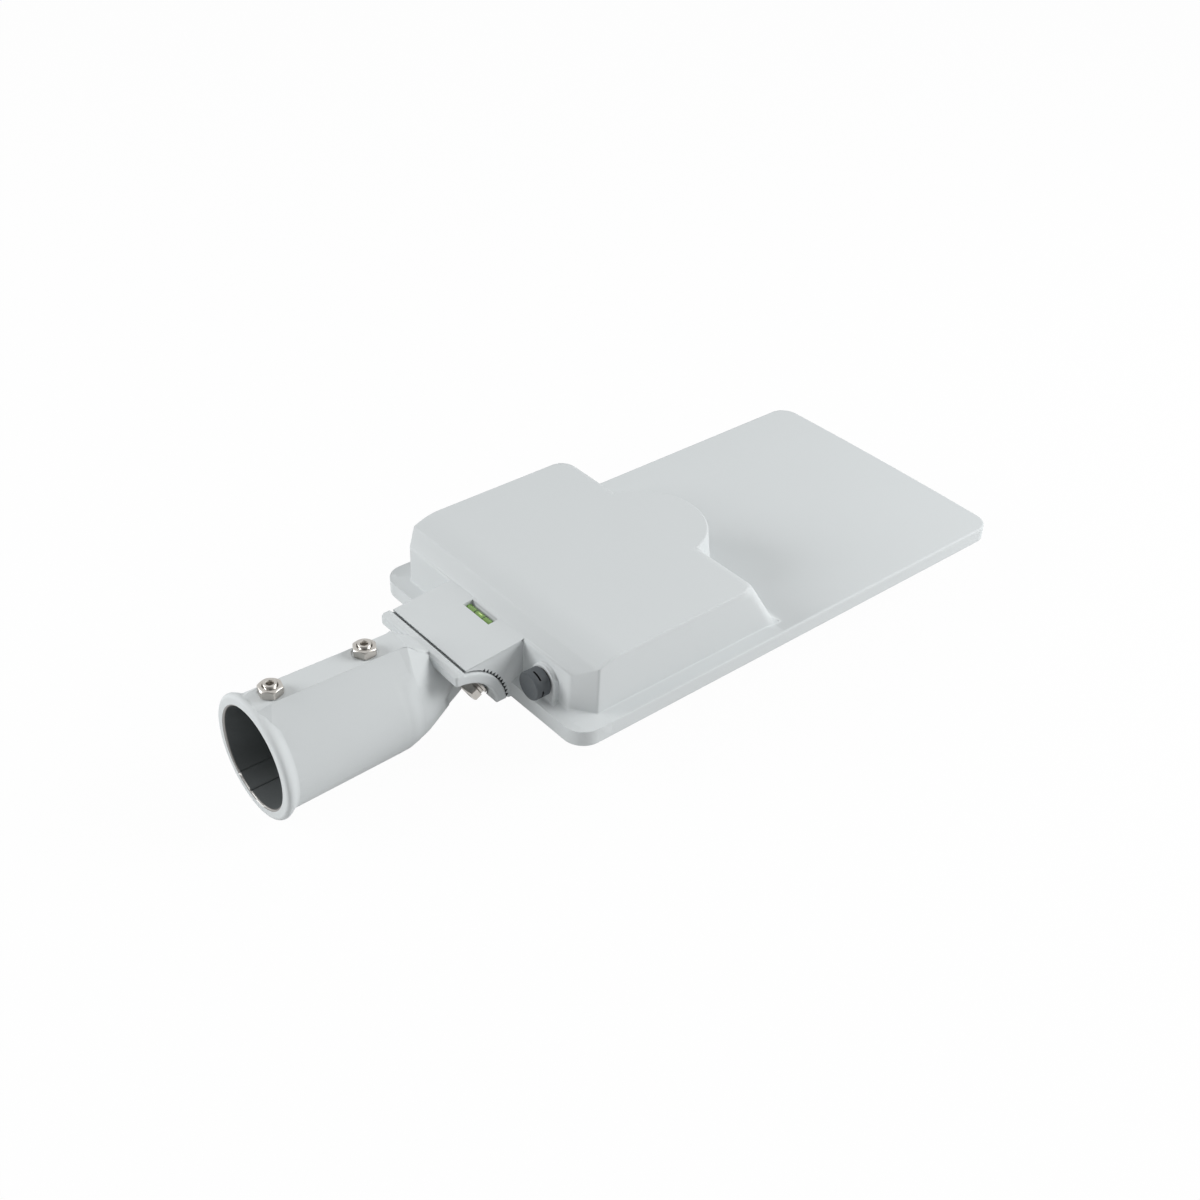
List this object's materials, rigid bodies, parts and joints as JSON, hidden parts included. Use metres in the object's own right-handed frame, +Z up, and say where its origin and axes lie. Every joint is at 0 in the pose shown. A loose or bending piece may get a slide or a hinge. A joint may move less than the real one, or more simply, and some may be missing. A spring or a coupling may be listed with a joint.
{
  "type": "led street light",
  "caption": "Flat die-cast LED street light head on a toothed tilting spigot that slides over a pole end and is held by set screws.",
  "frame": {"origin": "on the spigot's axis, where the true bore begins behind its mouth chamfer", "axes": "+X from the pole towards the lamp's tip, +Y across the lamp, +Z up; the light shines towards -Z"},
  "size_m": [0.5182, 0.2, 0.0843],
  "materials": {
    "cast_grey": "light grey polyester powder coat, fine texture",
    "cover_grey": "light grey powder coat",
    "stainless": "stainless steel, turned",
    "zinc_steel": "zinc plated",
    "brass": "plain",
    "vial_green": "clear green acrylic with fluid",
    "vial_marks": "black rings",
    "bubble_clear": "air bubble",
    "plug_grey": "dark grey nylon",
    "seal_black": "EPDM",
    "silicone_grey": "silicone",
    "board_white": "white solder mask on aluminium",
    "led_yellow": "phosphor",
    "lens_clear": "clear polycarbonate",
    "driver_case": "satin anodised",
    "module_black": "moulded",
    "block_white": "moulded nylon",
    "gland_grey": "moulded nylon"
  },
  "bodies": {
    "spigot": {"spigot_casting": "cast_grey", "set_screws": "stainless", "lock_nuts": "stainless"},
    "head": {"housing": "cast_grey", "clamp_bolts": "stainless", "clamp_washers": "stainless", "clamp_spring_washers": "stainless", "level_vial": "vial_green", "level_rings": "vial_marks", "level_bubble": "bubble_clear", "vent_plug": "plug_grey", "vent_seal": "seal_black", "gear_cover": "cover_grey", "cover_gasket": "silicone_grey", "cover_screws": "stainless", "led_board": "board_white", "led_packages": "led_yellow", "lens_plate": "lens_clear", "lens_gasket": "silicone_grey", "lens_frame": "cover_grey", "lens_screws": "stainless", "driver": "driver_case", "driver_screws": "zinc_steel", "surge_protector": "module_black", "terminal_block": "block_white", "terminal_screws": "brass", "gland_body": "gland_grey", "gland_seal": "seal_black", "gland_nut": "gland_grey", "cable_clamp": "block_white", "clamp_bar_screws": "zinc_steel", "earth_screw": "brass"}
  },
  "joints": [
    {"name": "head_tilt", "type": "hinge", "parent": "spigot", "child": "head", "pos_m": [0.111, 0, -0.0094], "axis": [0, 1, 0], "range_deg": [0, 15]}
  ]
}
